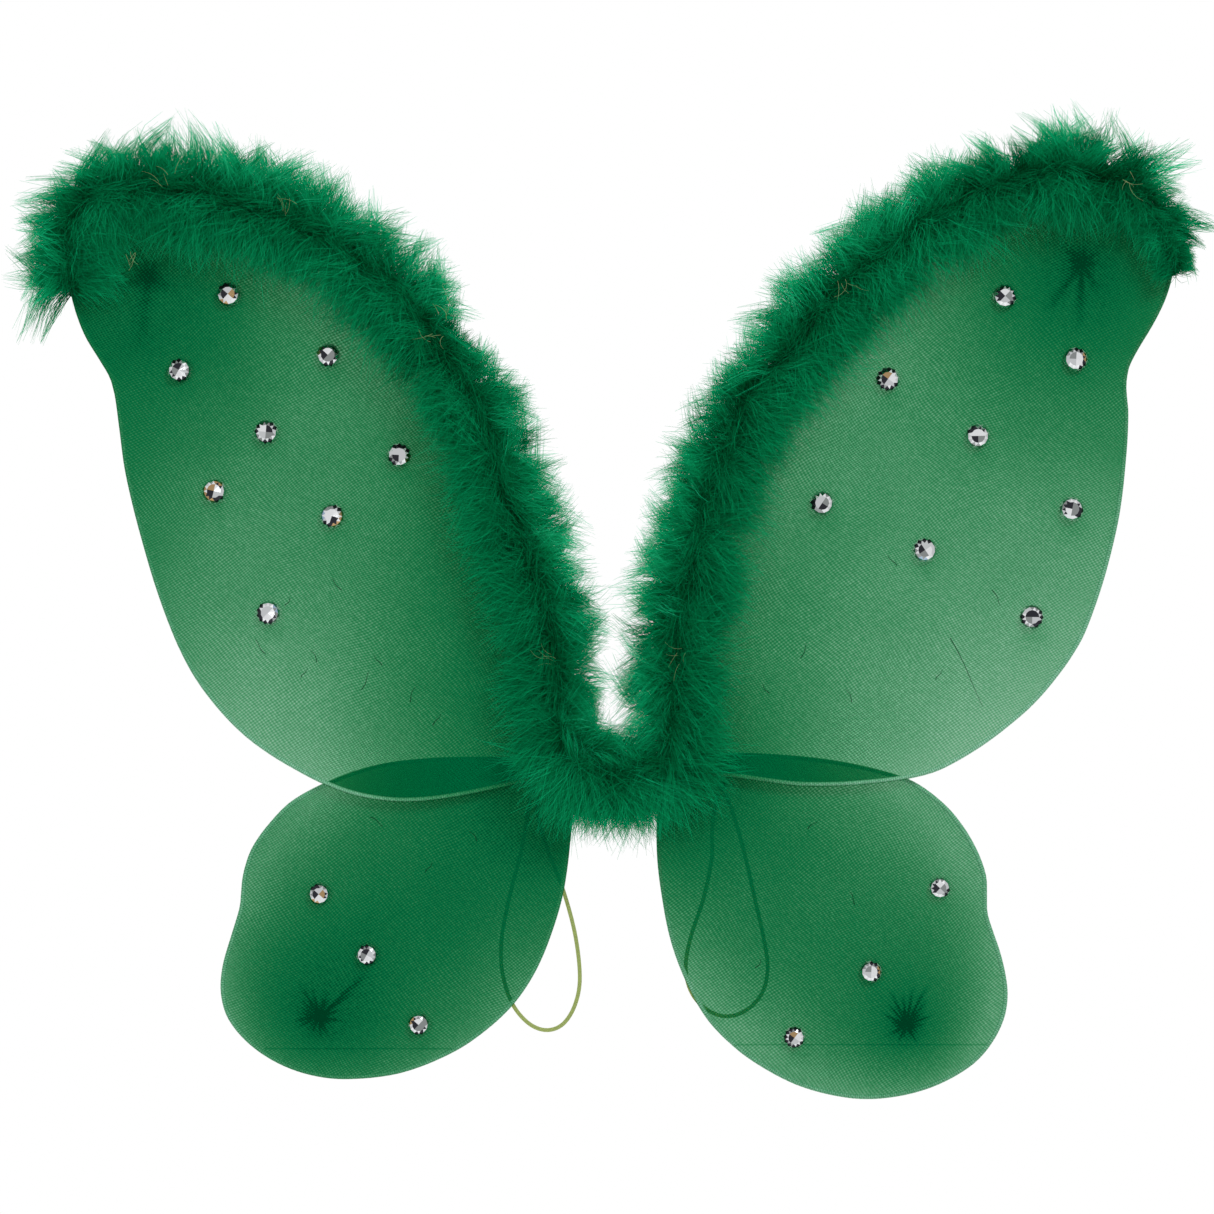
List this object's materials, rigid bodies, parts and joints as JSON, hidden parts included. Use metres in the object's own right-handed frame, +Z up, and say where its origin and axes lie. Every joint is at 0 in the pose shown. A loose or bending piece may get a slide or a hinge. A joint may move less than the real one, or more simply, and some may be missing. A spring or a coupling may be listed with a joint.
{
  "type": "fairy wings",
  "caption": "Four-lobed wearable costume wings: nylon-covered wire loops edged with marabou, set with flat-backed stones, with elastic shoulder loops.",
  "frame": {"origin": "on the wearer's side of the felt back patch, level with the wings' roots", "axes": "+Z up along the wearer's back, +Y out of the patch towards the wearer, +X to the right of someone looking at the decorated face"},
  "size_m": [0.5875, 0.0293, 0.4842],
  "materials": {
    "nylon": "sheer stretched nylon, two layers",
    "frame_wire": "wound cover, satin",
    "marabou": "fluffy down",
    "thread": "matt spun thread",
    "stone": "faceted, foil-backed",
    "elastic": "braided round elastic",
    "felt": "felt",
    "cloth_tape": "woven cloth tape"
  },
  "bodies": {
    "centre": {"back_patch": "felt", "centre_binding": "cloth_tape", "centre_marabou": "marabou", "centre_marabou_cord": "thread"},
    "left_upper": {"left_upper_frame_wire": "frame_wire", "left_upper_nylon_sleeve": "nylon", "left_upper_root_tie": "thread", "left_upper_stone_1": "stone", "left_upper_stone_2": "stone", "left_upper_stone_3": "stone", "left_upper_stone_4": "stone", "left_upper_stone_5": "stone", "left_upper_stone_6": "stone", "left_upper_stone_7": "stone", "left_upper_stone_8": "stone", "left_upper_toe_knot": "thread", "left_marabou": "marabou", "left_marabou_cord": "thread"},
    "left_lower": {"left_lower_frame_wire": "frame_wire", "left_lower_nylon_sleeve": "nylon", "left_lower_root_tie": "thread", "left_lower_stone_1": "stone", "left_lower_stone_2": "stone", "left_lower_stone_3": "stone", "left_lower_toe_knot": "thread"},
    "left_loop": {"left_loop_elastic": "elastic", "left_loop_knot": "elastic"},
    "right_upper": {"right_upper_frame_wire": "frame_wire", "right_upper_nylon_sleeve": "nylon", "right_upper_root_tie": "thread", "right_upper_stone_1": "stone", "right_upper_stone_2": "stone", "right_upper_stone_3": "stone", "right_upper_stone_4": "stone", "right_upper_stone_5": "stone", "right_upper_stone_6": "stone", "right_upper_stone_7": "stone", "right_upper_stone_8": "stone", "right_upper_toe_knot": "thread", "right_marabou": "marabou", "right_marabou_cord": "thread"},
    "right_lower": {"right_lower_frame_wire": "frame_wire", "right_lower_nylon_sleeve": "nylon", "right_lower_root_tie": "thread", "right_lower_stone_1": "stone", "right_lower_stone_2": "stone", "right_lower_stone_3": "stone", "right_lower_toe_knot": "thread"},
    "right_loop": {"right_loop_elastic": "elastic", "right_loop_knot": "elastic"}
  },
  "joints": [
    {"name": "left_fold", "type": "hinge", "parent": "centre", "child": "left_upper", "pos_m": [-0.017, -0.01, 0.0085], "axis": [0, 0, 1], "range_deg": [-20, 60]},
    {"name": "left_lower_splay", "type": "hinge", "parent": "left_upper", "child": "left_lower", "pos_m": [-0.017, -0.005, 0.004], "axis": [0, 0, -1], "range_deg": [0, 15]},
    {"name": "left_loop_swing", "type": "hinge", "parent": "left_lower", "child": "left_loop", "pos_m": [-0.042, 0.0002, -0.004], "axis": [1, 0, 0], "range_deg": [0, 100]},
    {"name": "right_fold", "type": "hinge", "parent": "centre", "child": "right_upper", "pos_m": [0.017, -0.01, 0.0085], "axis": [0, 0, -1], "range_deg": [-20, 60]},
    {"name": "right_lower_splay", "type": "hinge", "parent": "right_upper", "child": "right_lower", "pos_m": [0.017, -0.005, 0.004], "axis": [0, 0, 1], "range_deg": [0, 15]},
    {"name": "right_loop_swing", "type": "hinge", "parent": "right_lower", "child": "right_loop", "pos_m": [0.053, 0.0002, -0.0025], "axis": [1, 0, 0], "range_deg": [0, 100]}
  ]
}
